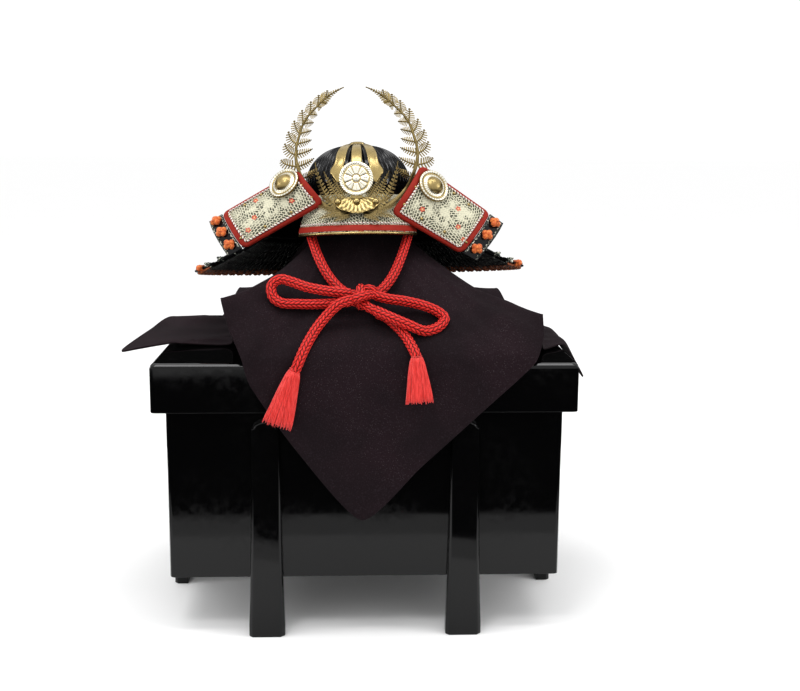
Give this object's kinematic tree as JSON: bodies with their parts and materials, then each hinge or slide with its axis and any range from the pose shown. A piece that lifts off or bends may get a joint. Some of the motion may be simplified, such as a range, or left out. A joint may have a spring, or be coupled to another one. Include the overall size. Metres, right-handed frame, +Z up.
{
  "type": "kabuto helmet on a display chest",
  "caption": "Ribbed black helmet with flared neck guard, leather wings, gold fern crest and red chin cord, on a hidden post over a draped cloth and a legged lacquer chest.",
  "frame": {"origin": "on the floor under the middle of the chest", "axes": "+Z up, front of the helmet towards -Y, +X to the right as seen from the front"},
  "size_m": [0.4243, 0.2985, 0.4762],
  "materials": {
    "chest_lacquer": "deep gloss black lacquer on wood",
    "bowl_lacquer": "gloss black lacquer on sheet metal",
    "gold": "polished gold plate on brass",
    "pale_gold": "bright pale gold plate, cast relief",
    "patterned_leather": "cream leather with small dark dashes and red flowers",
    "red_leather": "brick red leather",
    "post_wood": "plain wood",
    "dark_cloth": "dark purple-brown crepe",
    "red_cord": "bright red braided cord"
  },
  "bodies": {
    "root": {"chest_body": "chest_lacquer", "chest_lid": "chest_lacquer", "leg_front_left": "chest_lacquer", "leg_front_right": "chest_lacquer", "leg_back_left": "chest_lacquer", "leg_back_right": "chest_lacquer", "leg_side_left": "chest_lacquer", "leg_side_right": "chest_lacquer", "bowl": "bowl_lacquer", "band_centre": "gold", "band_left": "gold", "band_right": "gold", "top_ring": "gold", "visor": "patterned_leather", "visor_band": "red_leather", "visor_rim": "gold", "neck_lame_1": "bowl_lacquer", "neck_lame_2": "bowl_lacquer", "neck_lame_3": "bowl_lacquer", "neck_lame_4": "bowl_lacquer", "neck_lame_5": "bowl_lacquer", "wing_panel_left": "patterned_leather", "wing_border_left": "red_leather", "wing_end_plate_left": "bowl_lacquer", "wing_return_left": "bowl_lacquer", "medallion_left": "pale_gold", "wing_panel_right": "patterned_leather", "wing_border_right": "red_leather", "wing_end_plate_right": "bowl_lacquer", "wing_return_right": "bowl_lacquer", "medallion_right": "pale_gold", "crest_bracket": "gold", "crest_disc": "pale_gold", "great_frond_left": "gold", "great_frond_right": "gold", "small_fronds_left": "gold", "small_fronds_right": "gold", "rivet_left": "gold", "rivet_centre": "gold", "rivet_right": "gold", "stand_post": "post_wood", "draped_cloth": "dark_cloth", "chin_cord": "red_cord", "bow_loop_left": "red_cord", "bow_loop_right": "red_cord", "cord_tail_left": "red_cord", "cord_tail_right": "red_cord", "bow_knot": "red_cord", "tassel_left": "red_cord", "tassel_right": "red_cord"}
  },
  "joints": []
}
